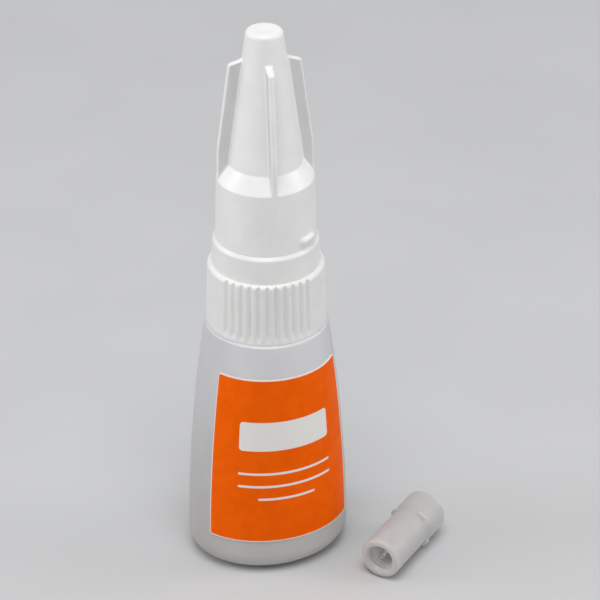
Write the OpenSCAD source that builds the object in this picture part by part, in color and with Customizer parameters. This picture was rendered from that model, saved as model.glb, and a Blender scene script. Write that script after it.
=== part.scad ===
// Squeeze bottle of instant glue: an oval bottle with a dosing nozzle, a ribbed collar, a finned screw cap
// and a loose pin cap that lies on the table beside it.
// Millimetres, +Z up. The origin is on the table under the bottle's axis, and the label faces -Y.

/* [Bottle] */
// Width of the base across the label side
body_w = 21.2; // [18:0.1:26]
// Depth of the base from front to back
body_d = 17.7; // [16:0.1:22]
// Height from the table to the shoulder
body_h = 34; // [28:0.5:50]
// Diameter of the round shoulder under the collar
shoulder_dia = 15.7; // [14.5:0.1:17]
// Radius of the edge between base and side
base_round = 3; // [2:0.1:4]
// Radius of the shoulder's edge
shoulder_round = 0.25; // [0.2:0.05:1]
// Thickness of the blown wall
bottle_wall = 0.8; // [0.5:0.05:1.2]
// Width of the flat ring that the bottle stands on
foot_w = 1.2; // [0.6:0.1:2]
// Depth of the hollow under the base
push_up = 0.6; // [0.2:0.1:1.2]
// Outside diameter of the neck
neck_dia = 11.2; // [10:0.1:12.4]
// Thickness of the neck's wall
neck_wall = 1.3; // [0.9:0.1:1.6]

/* [Label] */
// Height of the label's lower edge above the table
label_lift = 5.25; // [4.5:0.05:10]
// Distance from the label's upper edge to the shoulder
label_drop = 4.65; // [2:0.05:12]
// Part of the oval that the label goes round, in degrees
label_arc = 121; // [60:1:170]
// Thickness of the label
label_t = 0.1; // [0.05:0.01:0.3]
// Radius of the label's corners
label_corner = 0.4; // [0.2:0.1:3]

/* [Glue] */
// Height of the air space above the glue
air_h = 11.7; // [4:0.1:22]

/* [Nozzle] */
// Thickness of the flange that lies on the neck
flange_t = 1; // [0.6:0.1:1.5]
// Depth of the plug in the neck
plug_h = 3.5; // [2:0.1:5]
// Wall of the plug and of the spout
nozzle_wall = 0.9; // [0.6:0.05:1.2]
// Height of the spout above the flange
spout_h = 25.1; // [18:0.1:30]
// Diameter of the spout at the flange
spout_dia = 6.6; // [5.6:0.1:7.2]
// Diameter of the spout at its tip
spout_tip_dia = 2.1; // [1.6:0.1:2.6]
// Diameter of the hole in the tip
orifice_dia = 0.9; // [0.7:0.05:1.2]
// Length of the hole in the tip
orifice_len = 4; // [2:0.1:6]

/* [Collar] */
// Height of the ribbed grip
grip_h = 8.2; // [7:0.1:14]
// Height of the plain ring above the grip
ring_h = 3.6; // [2.8:0.1:6]
// Thickness of the web that holds the nozzle down
web_t = 1.4; // [0.8:0.1:1.6]
// Wall of the grip at its top
grip_wall = 1.5; // [1.2:0.05:2.2]
// Wall of the plain ring at its top
ring_wall = 0.8; // [0.6:0.05:1]
// How much further out the grip is at its foot
grip_draft = 0.24; // [0:0.02:0.4]
// How much further out the ring is at its foot
ring_draft = 0.13; // [0:0.01:0.2]
// Radius of the ring's upper edge
ring_round = 0.5; // [0.1:0.05:0.7]
// Ribs in each of the two groups
rib_count = 10; // [4:1:14]
// Angle from rib to rib, in degrees
rib_step = 8.6; // [6:0.1:11]
// Turn of the front ribs from the middle of the label, in degrees
rib_turn = -16; // [-90:1:90]
// Width of the grooves between the ribs
groove_w = 0.5; // [0.3:0.05:0.7]
// Depth of the grooves between the ribs
groove_depth = 0.3; // [0.15:0.05:0.5]
// Height of the plain rim under the ribs
rim_h = 0.5; // [0.4:0.1:2]
// How far the boss under the cap stays below the cap's flare
boss_drop = 1.6; // [0.8:0.1:3]
// Wall of the boss
boss_wall = 1.35; // [0.9:0.05:1.6]

/* [Cap] */
// Height of the skirt
skirt_h = 8.3; // [7:0.1:11]
// Wall of the skirt and the cone
cap_wall = 0.95; // [0.7:0.05:1.2]
// How much further out the skirt is at its foot
skirt_draft = 0.2; // [0:0.02:0.3]
// Height of the flare between the skirt and the cone
flare_h = 2.05; // [1.5:0.05:4]
// Diameter of the cone above the flare
cone_dia = 9.24; // [8:0.02:11]
// Diameter of the cone at the crown
tip_dia = 4.5; // [4:0.1:5.6]
// Thickness of the crown
crown_t = 1.2; // [0.8:0.1:2]
// Radius of the crown's edge
tip_round = 0.55; // [0.2:0.05:1.1]
// Number of fins
fin_count = 4; // [2:1:8]
// Thickness of a fin
fin_t = 0.9; // [0.6:0.05:1.4]
// How far a fin stands out from the cone
fin_reach = 1.7; // [0.8:0.05:2.2]
// Height of the fins' upright foot above the flare
fin_foot_h = 2.1; // [0.5:0.1:4]
// Distance from the fins' upper corner to the crown
fin_drop = 4.2; // [2.5:0.1:8]
// Radius of the fins' upper corner
fin_round = 0.4; // [0.1:0.05:0.6]
// Slope of the fins' upper edge, in degrees
fin_slope = 17; // [0:1:40]
// Turn of the closed cap from the middle of the label, in degrees
cap_turn = -6; // [-90:1:90]
// Part of the skirt that each of the two stop lugs goes round, in degrees
lug_arc = 26; // [8:1:60]
// Height of a stop lug
lug_h = 1.6; // [0.8:0.1:3]
// How far a stop lug stands out from the skirt
lug_reach = 0.45; // [0.1:0.05:0.5]
// Height of the stop lugs above the ring
lug_lift = 0.2; // [0.2:0.1:2]

/* [Seal] */
// Height of the seal plug in the crown
seal_h = 2.9; // [1.5:0.1:4]
// How far the pin in the crown reaches into the orifice
seal_pin_reach = 3; // [1:0.1:5]

/* [Pin cap] */
// Outside diameter of the pin cap's tube
pin_cap_dia = 5.5; // [5:0.05:5.8]
// Outside diameter of its closed head
head_dia = 5.9; // [5.8:0.05:7]
// Length of the head
head_len = 3.9; // [2.5:0.1:6]
// Length of the slope from the tube up to the head
head_slope_h = 1; // [0.2:0.1:2]
// Number of nubs round the foot of the head
nub_count = 4; // [2:1:8]
// Part of the head that each nub goes round, in degrees
nub_arc = 28; // [8:1:40]
// Length of a nub along the pin cap
nub_h = 0.55; // [0.4:0.05:2]
// Distance from the closed end to the middle of the nubs
nub_back = 4.6; // [3:0.1:7]
// How far a nub stands out from the head
nub_reach = 0.2; // [0.1:0.05:0.5]
// Turn of the first nub from the lowest side, in degrees
nub_turn = 36; // [0:1:90]
// Length of the pin cap
pin_cap_len = 13.1; // [9:0.1:18]
// Diameter of the bore
pin_cap_bore = 3.5; // [2.8:0.1:4]
// How much the bore opens out at its mouth, on each side
mouth_flare = 0.15; // [0.05:0.05:0.4]
// Depth of the flared mouth
mouth_h = 0.15; // [0.05:0.05:2]
// Thickness of the closed end
end_t = 2.2; // [1.4:0.1:3]
// Radius of the closed end's edge
end_round = 0.35; // [0.2:0.05:1]
// Distance from the mouth to the pin's point
needle_inset = 0.2; // [0:0.1:4]
// Depth of the pin's root in the closed end
needle_root = 1.4; // [0.8:0.1:1.8]
// Distance from the bottle's right side to the middle of the pin cap's mouth
pin_cap_side = 0.3; // [-4:0.1:20]
// Distance from the bottle's front to the middle of the pin cap's mouth
pin_cap_front = 4.9; // [4.5:0.1:20]
// Direction in which the pin cap lies, in degrees
pin_cap_turn = 42.4; // [30:0.2:60]

/* [Hidden] */
$fn = 96;

// Clearances: threads and free fits, pressed or sliding fits, skins, and the overrun of cuts
thread_gap = 0.3;
spout_gap = 0.2;
collar_gap = 0.06;
fit_gap = 0.02;
orifice_gap = 0.15;
seal_gap = 0.05;
skin_gap = 0.04;
overrun = 0.5;

// Sides of the oval and steps of its curves
oval_sides = 48;
body_steps = 9;
round_steps = 5;
label_columns = 18;
label_rows = 8;
front = 270;
half_turn = 180;

// Levels from the table up
foot_round = base_round - bottle_wall;
collar_z = body_h + collar_gap;
grip_z = collar_z + grip_h;
seat_z = grip_z + ring_h;
web_z = seat_z - web_t;
neck_z = web_z - flange_t;
skirt_z = seat_z + skirt_h;
boss_z = skirt_z - boss_drop;
flare_z = skirt_z + flare_h;
spout_z = web_z + spout_h;
seal_z = spout_z + seal_gap;
crown_z = seal_z + seal_h;
tip_z = crown_z + crown_t;

// Radii, from the inside out
neck_bore_r = neck_dia / 2 - neck_wall;
plug_r = neck_bore_r - fit_gap;
collar_bore_r = neck_dia / 2 + thread_gap;
grip_r = collar_bore_r + grip_wall;
ring_r = collar_bore_r + ring_wall;
grip_step = grip_r - ring_r - ring_draft;
pin_dia = orifice_dia - 2 * orifice_gap;
boss_bore_r = spout_dia / 2 + spout_gap;
boss_r = boss_bore_r + boss_wall;
skirt_bore_r = boss_r + thread_gap;
skirt_r = skirt_bore_r + cap_wall;
nub_r = head_dia / 2 + nub_reach;

// Slopes of the cap
cone_tilt = atan((cone_dia - tip_dia) / 2 / (tip_z - flare_z));
flare_tilt = atan((skirt_r - cone_dia / 2) / flare_h);
flare_sink = cap_wall * tan(flare_tilt / 2);

// Half width and half depth of the oval body at a height
function half_w(z) = body_w / 2 - (body_w - shoulder_dia) / 2 * pow(z / body_h, 2);
function half_d(z) = body_d / 2 - (body_d - shoulder_dia) / 2 * pow(z / body_h, 2);

// Radius of the cap's cone at a height
function cone_r(z) = tip_dia / 2 + (tip_z - z) * tan(cone_tilt);

// How far a nub reaches below the pin cap's axis, at an angle from the lowest side
function nub_drop(a) = nub_r * cos(max(0, abs((a + half_turn) % 360 - half_turn) - nub_arc / 2));

// Height of the pin cap's axis: it lies on its head, or on a nub that points down
pin_cap_z = max([head_dia / 2, for (i = [0 : nub_count - 1]) nub_drop(nub_turn + 360 * i / nub_count)]);

// Points of an arc in the plane of a profile
function arc(centre, r, from, to) =
    [for (i = [0 : round_steps]) let (a = from + (to - from) * i / round_steps)
        centre + r * [cos(a), sin(a)]];

// One level of the body, drawn in by inset
function oval(z, inset) =
    [for (i = [0 : oval_sides - 1]) let (a = 360 * i / oval_sides)
        [(half_w(z) - inset) * cos(a), (half_d(z) - inset) * sin(a), z]];

// Levels [z, inset] of the outside: hollow foot, rounded base edge, side and shoulder
function outside_levels() = concat(
    [[push_up, base_round + foot_w + push_up], [0, base_round + foot_w]],
    arc([base_round, base_round], base_round, 180, 270),
    [for (i = [1 : body_steps - 1])
        [base_round + (body_h - shoulder_round - base_round) * i / body_steps, 0]],
    arc([body_h - shoulder_round, shoulder_round], shoulder_round, -90, 0));

// Levels [z, inset] of the space inside, at a distance from the outside and up to a height
function inside_levels(distance, top) = let (floor_z = push_up + distance) concat(
    arc([floor_z + foot_round, distance + foot_round], foot_round, 180, 270),
    [for (i = [1 : body_steps])
        [floor_z + foot_round + (top - floor_z - foot_round) * i / body_steps, distance]]);

// Levels [height above the lower edge, inset from the side] of a label with round corners
function label_levels(h) = concat(
    arc([label_corner, label_corner], label_corner, 180, 270),
    [for (i = [1 : label_rows - 1]) [label_corner + (h - 2 * label_corner) * i / label_rows, 0]],
    arc([h - label_corner, label_corner], label_corner, -90, 0));

// One level of the label: its outside from left to right, then its back from right to left
function label_ring(z, inset) =
    let (reach = label_arc / 2 - inset / half_w(z) * half_turn / PI)
    [for (side = [0, 1]) for (i = [0 : label_columns])
        let (share = side == 0 ? i / label_columns : 1 - i / label_columns,
             a = front + (2 * share - 1) * reach,
             lift = skin_gap + (side == 0 ? label_t : 0))
        [(half_w(z) + lift) * cos(a), (half_d(z) + lift) * sin(a), z]];

// Closed skin over rings of equal counts, listed from the bottom up
module skin(rings) {
    n = len(rings[0]);
    last = (len(rings) - 1) * n;
    polyhedron(
        points = [for (ring = rings) each ring],
        faces = concat(
            [[for (i = [0 : n - 1]) i]],
            [for (k = [0 : len(rings) - 2]) for (i = [0 : n - 1])
                let (j = (i + 1) % n, low = k * n, up = low + n)
                each [[low + i, up + i, up + j], [low + i, up + j, low + j]]],
            [[for (i = [n - 1 : -1 : 0]) last + i]]));
}

module bottle() {
    color([0.78, 0.81, 0.86, 0.6])
    difference() {
        union() {
            skin([for (level = outside_levels()) oval(level[0], level[1])]);
            translate([0, 0, body_h - bottle_wall / 2])
                cylinder(d = neck_dia, h = neck_z - body_h + bottle_wall / 2);
        }
        skin([for (level = inside_levels(bottle_wall, body_h - bottle_wall)) oval(level[0], level[1])]);
        translate([0, 0, body_h - bottle_wall - overrun])
            cylinder(r = neck_bore_r, h = neck_z - body_h + bottle_wall + 2 * overrun);
    }
}

module front_label() {
    color([0.93, 0.38, 0.03])
    skin([for (level = label_levels(body_h - label_lift - label_drop))
        label_ring(label_lift + level[0], level[1])]);
}

module adhesive_fill() {
    color([0.92, 0.94, 0.95, 0.5])
    skin([for (level = inside_levels(bottle_wall + skin_gap, body_h - bottle_wall - air_h))
        oval(level[0], level[1])]);
}

module nozzle() {
    hollow_r = spout_dia / 2 - nozzle_wall;
    color([0.92, 0.93, 0.94])
    rotate_extrude()
        polygon([
            [orifice_dia / 2, spout_z],
            [spout_tip_dia / 2, spout_z],
            [spout_dia / 2, web_z],
            [neck_dia / 2, web_z],
            [neck_dia / 2, neck_z],
            [plug_r, neck_z],
            [plug_r, neck_z - plug_h],
            [plug_r - nozzle_wall, neck_z - plug_h],
            [plug_r - nozzle_wall, neck_z],
            [hollow_r, web_z],
            [orifice_dia / 2, spout_z - orifice_len]]);
}

// Upright grooves that leave the ribs standing, open at the top and round at the foot
module rib_grooves() {
    foot_r = grip_r + grip_draft * (1 - rim_h / grip_h);
    for (side = [0, half_turn]) for (i = [0 : rib_count])
        rotate([0, 0, front + rib_turn + side + (i - rib_count / 2) * rib_step])
        translate([foot_r - groove_depth + groove_w / 2, 0, collar_z + rim_h + groove_w / 2])
        rotate([0, -atan(grip_draft / grip_h), 0]) {
            sphere(d = groove_w);
            cylinder(d = groove_w, h = grip_h);
        }
}

module ribbed_collar() {
    color([0.86, 0.87, 0.87])
    difference() {
        rotate_extrude()
            polygon(concat(
                [[collar_bore_r, collar_z], [grip_r + grip_draft, collar_z]],
                arc([grip_r - grip_step, grip_z - grip_step], grip_step, 0, 90),
                arc([ring_r - ring_round, seat_z - ring_round], ring_round, 0, 90),
                [[boss_r, seat_z], [boss_r, boss_z], [boss_bore_r, boss_z],
                 [boss_bore_r, web_z], [collar_bore_r, web_z]]));
        rib_grooves();
    }
}

// Space inside the cap: skirt bore, flare and cone up to the crown
module cap_hollow() {
    rotate_extrude()
        polygon([
            [0, seat_z - overrun],
            [skirt_bore_r, seat_z - overrun],
            [skirt_bore_r, skirt_z - flare_sink],
            [cone_dia / 2 - cap_wall, flare_z - flare_sink],
            [cone_r(crown_z) - cap_wall, crown_z],
            [0, crown_z]]);
}

// One fin as a plate from the axis out, with a round upper corner
module fin() {
    foot_z = flare_z + fin_foot_h;
    top_z = tip_z - fin_drop;
    top_r = cone_r(top_z) + fin_reach;
    rotate([90, 0, 0])
    linear_extrude(fin_t, center = true)
        polygon(concat(
            [[0, skirt_z], [skirt_r, skirt_z], [cone_r(foot_z) + fin_reach, foot_z]],
            arc([top_r - fin_round, top_z - fin_round], fin_round, cone_tilt, 90 - fin_slope),
            [[0, top_z + (top_r - fin_round) * tan(fin_slope)]]));
}

module stop_lug() {
    rotate([0, 0, -lug_arc / 2])
    rotate_extrude(angle = lug_arc)
        translate([skirt_bore_r + cap_wall / 2, seat_z + lug_lift])
        square([cap_wall / 2 + skirt_draft + lug_reach, lug_h]);
}

module overcap() {
    crown_mid = tip_dia / 2 + tip_round * (tan(cone_tilt) - 1 / cos(cone_tilt));
    color([0.84, 0.85, 0.85])
    difference() {
        rotate([0, 0, front + cap_turn]) {
            rotate_extrude()
                polygon(concat(
                    [[0, seat_z], [skirt_r + skirt_draft, seat_z], [skirt_r, skirt_z],
                     [cone_dia / 2, flare_z]],
                    arc([crown_mid, tip_z - tip_round], tip_round, cone_tilt, 90),
                    [[0, tip_z]]));
            for (i = [0 : fin_count - 1])
                rotate([0, 0, 360 * i / fin_count])
                    fin();
            for (side = [0, half_turn])
                rotate([0, 0, side + half_turn / fin_count])
                    stop_lug();
        }
        cap_hollow();
    }
}

module tip_seal() {
    hole_r = pin_dia / 2 + fit_gap;
    color([0.95, 0.95, 0.92])
    rotate_extrude()
        polygon([
            [hole_r, seal_z],
            [cone_r(seal_z) - cap_wall - seal_gap, seal_z],
            [cone_r(crown_z) - cap_wall - seal_gap, crown_z],
            [hole_r, crown_z]]);
}

// Straight pin with a conical point, from the point up
module pin(length) {
    rotate_extrude()
        polygon([[0, 0], [pin_dia / 2, pin_dia], [pin_dia / 2, length], [0, length]]);
}

module orifice_pin() {
    color([0.75, 0.76, 0.78])
    translate([0, 0, spout_z - seal_pin_reach])
        pin(seal_pin_reach + seal_h);
}

// Lays a piece made along +Z on the table, in the place and direction of the pin cap
module beside_bottle() {
    translate([body_w / 2 + pin_cap_side, -body_d / 2 - pin_cap_front, pin_cap_z])
    rotate([0, 90, pin_cap_turn])
        children();
}

// One short nub across the foot of the head
module nub() {
    root_r = (pin_cap_dia + pin_cap_bore) / 4;
    rotate([0, 0, nub_turn - nub_arc / 2])
    rotate_extrude(angle = nub_arc)
        translate([root_r, pin_cap_len - nub_back - nub_h / 2])
        square([nub_r - root_r, nub_h]);
}

module pin_cap() {
    bore_r = pin_cap_bore / 2;
    head_r = head_dia / 2;
    head_z = pin_cap_len - head_len;
    color([0.80, 0.80, 0.77, 0.7])
    beside_bottle()
    difference() {
        union() {
            rotate_extrude()
                polygon(concat(
                    [[bore_r + mouth_flare, 0], [pin_cap_dia / 2, 0],
                     [pin_cap_dia / 2, head_z - head_slope_h], [head_r, head_z]],
                    arc([head_r - end_round, pin_cap_len - end_round], end_round, 0, 90),
                    [[0, pin_cap_len], [0, pin_cap_len - end_t], [bore_r, pin_cap_len - end_t],
                     [bore_r, mouth_h]]));
            for (i = [0 : nub_count - 1])
                rotate([0, 0, 360 * i / nub_count])
                    nub();
        }
        translate([0, 0, pin_cap_len - end_t - overrun])
            cylinder(d = pin_dia + 2 * fit_gap, h = needle_root + overrun);
    }
}

module clearing_pin() {
    color([0.75, 0.76, 0.78])
    beside_bottle()
    translate([0, 0, needle_inset])
        pin(pin_cap_len - end_t + needle_root - needle_inset);
}

bottle();
front_label();
adhesive_fill();
nozzle();
ribbed_collar();
overcap();
tip_seal();
orifice_pin();
pin_cap();
clearing_pin();
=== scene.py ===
"""Looks of a squeeze bottle of instant glue with a finned screw cap, and its loose pin cap.

Everything is in metres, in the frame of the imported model: +Z up, the label faces -Y.
"""

import math

import bmesh
import bpy
from mathutils import Matrix, Vector


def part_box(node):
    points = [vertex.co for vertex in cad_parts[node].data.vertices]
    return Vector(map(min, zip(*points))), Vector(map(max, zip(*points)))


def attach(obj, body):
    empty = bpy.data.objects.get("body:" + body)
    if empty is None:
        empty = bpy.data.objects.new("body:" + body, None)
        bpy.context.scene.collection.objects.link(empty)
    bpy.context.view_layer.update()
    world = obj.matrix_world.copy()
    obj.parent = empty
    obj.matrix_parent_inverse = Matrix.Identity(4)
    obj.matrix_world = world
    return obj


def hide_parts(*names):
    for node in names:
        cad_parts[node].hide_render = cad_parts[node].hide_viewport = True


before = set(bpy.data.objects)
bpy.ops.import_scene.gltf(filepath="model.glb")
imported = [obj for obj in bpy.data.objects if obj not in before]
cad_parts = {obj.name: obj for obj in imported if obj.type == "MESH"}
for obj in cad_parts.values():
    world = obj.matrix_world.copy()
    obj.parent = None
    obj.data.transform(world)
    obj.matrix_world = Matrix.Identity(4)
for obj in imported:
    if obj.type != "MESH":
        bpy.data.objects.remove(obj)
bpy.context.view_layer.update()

MM = 0.001
MICRON = 1e-6
TURN = 2 * math.pi
FRONT = -math.pi / 2

# Levels and radii that the frame gives
BOTTLE_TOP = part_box("bottle")[1]
LABEL_LOW, LABEL_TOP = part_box("front_label")
FILL_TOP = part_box("adhesive_fill")[1]
NOZZLE_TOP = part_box("nozzle")[1]
COLLAR_LOW, COLLAR_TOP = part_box("ribbed_collar")
CAP_LOW, CAP_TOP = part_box("overcap")
SEAL_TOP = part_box("tip_seal")[1]
BASE_A = BOTTLE_TOP.x
BASE_B = BOTTLE_TOP.y
NECK_Z = BOTTLE_TOP.z
LABEL_H = LABEL_TOP.z - LABEL_LOW.z
COLLAR_Z = COLLAR_LOW.z
BOSS_Z = COLLAR_TOP.z
GRIP_FOOT_R = COLLAR_TOP.x
SEAT_Z = CAP_LOW.z
TIP_Z = CAP_TOP.z
NECK_R = NOZZLE_TOP.x
SPOUT_Z = NOZZLE_TOP.z
CROWN_Z = SEAL_TOP.z

# Meshes: slack for telling which wall a point is on, and the least angle of a sharp edge
SLACK = 0.01 * MM
SHARP_EDGE = math.radians(42)

# Threads; the crest and flank shares are of the lead, from the middle of the crest
THREAD_H = 0.2 * MM
THREAD_CREST_SHARE = 0.08
THREAD_FLANK_SHARE = 0.24
THREAD_STEP = 0.14 * MM

# Bottle
BODY_H = 34 * MM
SHOULDER_R = 7.85 * MM
BASE_ROUND = 3 * MM
SHOULDER_ROUND = 0.25 * MM
SHOULDER_EDGE = 0.12 * MM
BOTTLE_WALL = 0.8 * MM
FOOT_W = 1.2 * MM
FOOT_ROUND = 0.25 * MM
PUSH_UP = 0.6 * MM
PUSH_UP_ROUND = 0.3 * MM
INNER_FLOOR_SHARE = 2.5
NECK_WALL = 1.3 * MM
NECK_ROOT_ROUND = 0.3 * MM
NECK_LEAD = 2 * MM
NECK_THREAD_LOW = 1.2 * MM
NECK_THREAD_END = 0.6 * MM
LIP_ROUND = 0.25 * MM
LIP_IN_ROUND = 0.15 * MM
SEAM_H = 0.04 * MM
SEAM_HALF_ANGLE = math.radians(0.9)
SEAM_PARTS = 3
BOTTLE_SIDES = 144
BOTTLE_STEP = 0.8 * MM
INNER_STEP = 1.2 * MM

# Glue
SKIN_GAP = 0.04 * MM
MENISCUS_H = 0.35 * MM
MENISCUS_W = 1.4 * MM
MENISCUS_RINGS = 6
GLUE_SIDES = 96

# Label
LABEL_HALF_ARC = math.radians(60.5)
LABEL_T = 0.1 * MM
LABEL_BACK = 0.005 * MM
LABEL_CORNER = 0.4 * MM
LABEL_COLUMNS = 64
LABEL_ROWS = 40
LABEL_CORNER_ROWS = 6

# Print on the label
LABEL_MARGIN = 0.15 * MM
PRINT_BLUR = 0.05 * MM
PANEL_LEVEL_SHARE = 0.66
PANEL_HALF_SIZE = (6.2 * MM, 2.1 * MM)
PANEL_CORNER = 0.5 * MM
RULE_LEVEL_SHARE = 0.43
RULE_HALF_LENGTHS = (6.2 * MM, 6.2 * MM, 3.6 * MM)
RULE_HALF_H = 0.17 * MM
RULE_CORNER = 0.12 * MM
RULE_STEP = 1.9 * MM

# Nozzle
FLANGE_T = 1 * MM
FLANGE_ROUND = 0.15 * MM
PLUG_H = 3.5 * MM
PLUG_GAP = 0.02 * MM
PLUG_ROUND = 0.25 * MM
PLUG_ROOT_ROUND = 0.05 * MM
NOZZLE_WALL = 0.9 * MM
NOZZLE_IN_ROUND = 0.3 * MM
SPOUT_R = 3.3 * MM
SPOUT_TIP_R = 1.05 * MM
SPOUT_ROUND = 0.25 * MM
ORIFICE_R = 0.45 * MM
ORIFICE_LEN = 4 * MM
ORIFICE_ROUND = 0.1 * MM
NOZZLE_SIDES = 72

# Collar
GRIP_H = 8.2 * MM
GRIP_DRAFT = 0.24 * MM
GRIP_ROUND = 0.57 * MM
GRIP_FOOT_ROUND = 0.05 * MM
RING_R = 6.7 * MM
RING_DRAFT = 0.13 * MM
RING_ROUND = 0.4 * MM
RING_ROOT_ROUND = 0.08 * MM
LEDGE_DROP = 0.35 * MM
LEDGE_LIP = 0.06 * MM
LEDGE_MARGIN = 0.015 * MM
COLLAR_GAP = 0.3 * MM
COLLAR_BORE_R = NECK_R + COLLAR_GAP
COLLAR_BORE_ROUND = 0.1 * MM
WEB_T = 1.4 * MM
WEB_ROUND = 0.1 * MM
WEB_ROOT_ROUND = 0.2 * MM
BOSS_R = 4.85 * MM
BOSS_ROUND = 0.2 * MM
BOSS_ROOT_ROUND = 0.12 * MM
BOSS_BORE_R = 3.5 * MM
BOSS_BORE_ROUND = 0.12 * MM
BOSS_THREAD_LOW = 0.9 * MM
BOSS_THREAD_END = 0.3 * MM
RIBS = 10
RIB_STEP = math.radians(8.6)
RIB_TURN = math.radians(-16)
GROOVE_HALF = 0.4 * MM
GROOVE_DEPTH = 0.3 * MM
RIM_H = 0.5 * MM
RIB_FOOT = 0.35 * MM
COLLAR_SIDES = 432
COLLAR_STEP = 0.4 * MM

# Screw cap
SKIRT_H = 8.3 * MM
SKIRT_R = 6.1 * MM
SKIRT_DRAFT = 0.2 * MM
SKIRT_BORE_R = 5.15 * MM
SKIRT_IN_ROUND = 0.2 * MM
CAP_WALL = 0.95 * MM
CAP_IN_ROUND = 0.3 * MM
CAP_LEAD = 1.8 * MM
CAP_THREAD_END = 1.2 * MM
FLARE_H = 2.05 * MM
FLARE_ROUND = 0.35 * MM
CONE_R = 4.62 * MM
TIP_R = 2.25 * MM
TIP_ROUND = 0.55 * MM
CROWN_IN_R = 0.4 * MM
CROWN_IN_ROUND = 0.2 * MM
CAP_TURN = math.radians(-6)
CAP_STEP = 0.3 * MM

# Dimple in the cap's crown
DIMPLE_R = 0.9 * MM
DIMPLE_FLOOR_R = 0.7 * MM
DIMPLE_MIDDLE_R = 0.3 * MM
DIMPLE_DEPTH = 0.08 * MM
DIMPLE_ROUND = 0.15 * MM

# Fins
FINS = 4
FIN_HALF = 0.45 * MM
FIN_FILLET = 0.22 * MM
FIN_NOSE = 0.36 * MM
FIN_REACH = 1.7 * MM
FIN_FOOT_H = 2.1 * MM
FIN_FOOT_ROUND = 2 * MM
FIN_DROP = 4.2 * MM
FIN_SLOPE = math.radians(17)
FIN_ROUND = 0.4 * MM
FIN_ARC_PARTS = 3
FIN_FLANK_PARTS = 3
FIN_GAP_PARTS = 26
FIN_TOP_STEP = 0.06 * MM
FIN_FLANK_NORMAL = 0.8

# Stop lugs
LUG_HALF_ARC = math.radians(13)
LUG_SOFT_ARC = LUG_HALF_ARC / 4
LUG_H = 1.6 * MM
LUG_REACH = 0.45 * MM
LUG_LIFT = 0.2 * MM
LUG_PEAK_SHARE = 0.7
LUG_MARGIN = 0.4 * MM
LUG_STEP = 0.16 * MM

# Pin cap
PIN_CAP_TURN = math.radians(42.4)
PIN_CAP_SIDE = 0.3 * MM
PIN_CAP_FRONT = 4.9 * MM
PIN_CAP_LEN = 13.1 * MM
PIN_CAP_R = 2.75 * MM
PIN_CAP_SIDES = 180
HEAD_R = 2.95 * MM
HEAD_LEN = 3.9 * MM
HEAD_SLOPE_H = 1 * MM
HEAD_ROUND = 2 * MM
END_T = 2.2 * MM
END_ROUND = 0.35 * MM

# Nubs; the arc shares are of half a nub's arc, the height shares of a nub's height
NUBS = 4
NUB_TURN = math.radians(36)
NUB_HALF_ARC = math.radians(14)
NUB_ARC_SHARES = (0.7, 1.15)
NUB_H = 0.55 * MM
NUB_H_SHARES = (0.15, 0.55)
NUB_BACK = 4.6 * MM
NUB_REACH = 0.2 * MM

# Bore and mouth of the pin cap
PIN_CAP_BORE_R = 1.7 * MM
BORE_TAPER = 0.1 * MM
BORE_END_R = 0.3 * MM
BORE_END_ROUND = 0.4 * MM
BORE_RING_STEP = 0.7 * MM
BORE_RING_H = 0.06 * MM
BORE_RING_END = 0.5 * MM
BORE_LIGHT_DEPTH = 2 * MM
BORE_STEP = 0.1 * MM
MOUTH_FLARE = 0.3 * MM
MOUTH_H = 0.35 * MM
MOUTH_ROUND = 0.4 * MM
MOUTH_EDGE_ROUND = 0.1 * MM
MOUTH_IN_ROUND = 0.25 * MM

# Dimple in the pin cap's end
END_DIMPLE_R = 0.8 * MM
END_DIMPLE_FLOOR_R = 0.6 * MM
END_DIMPLE_MIDDLE_R = 0.25 * MM
END_DIMPLE_DEPTH = 0.12 * MM
END_DIMPLE_ROUND = 0.15 * MM
END_DIMPLE_FLOOR_ROUND = 0.12 * MM

# Camera
CAMERA_DISTANCE = 289.66 * MM
CAMERA_HEIGHT = 205.49 * MM
CAMERA_TURN = math.radians(17)
CAMERA_YAW = math.radians(0.845)
CAMERA_PITCH = math.radians(30.3)
CAMERA_LENS = 159
CAMERA_SENSOR = 36
CAMERA_NEAR = 10 * MM

# Floor and backdrop
FLOOR_SIZE = 4
FLOOR_DROP = 0.02 * MM
FLOOR_NEAR = 0.16
FLOOR_FAR = 0.6
BACKDROP = (0.585, 0.59, 0.598, 1)

# Light; each lamp has a name, a place, a diameter and a power
LAMPS = (
    ("overhead", (-0.08, -0.22, 0.72), 0.5, 3.05),
    ("side_left", (-0.58, 0.16, 0.30), 0.35, 1.15),
    ("side_right", (0.58, -0.16, 0.30), 0.35, 0.95))
WORLD_COLOUR = (1.0, 0.995, 0.99, 1)
WORLD_STRENGTH = 0.42


def smooth(low, high, x):
    """Goes from 0 at low to 1 at high with soft ends."""
    t = min(1, max(0, (x - low) / (high - low)))
    return t * t * (3 - 2 * t)


def rounded(corners, steps=6, closed=False):
    """Outline through corners (x, z, radius), with each corner that has a radius as an arc."""
    count = len(corners)
    outline = []
    for i, (x, z, radius) in enumerate(corners):
        here = Vector((x, z))
        if radius == 0 or (not closed and i in (0, count - 1)):
            outline.append(here)
            continue
        back = (Vector(corners[i - 1][:2]) - here).normalized()
        ahead = (Vector(corners[(i + 1) % count][:2]) - here).normalized()
        half = back.angle(ahead) / 2
        centre = here + (back + ahead).normalized() * radius / math.sin(half)
        first = here + back * radius / math.tan(half) - centre
        last = here + ahead * radius / math.tan(half) - centre
        sweep = first.angle_signed(last)
        for k in range(steps + 1):
            turn = Matrix.Rotation(-sweep * k / steps, 2)
            outline.append(centre + turn @ first)
    return outline


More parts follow.
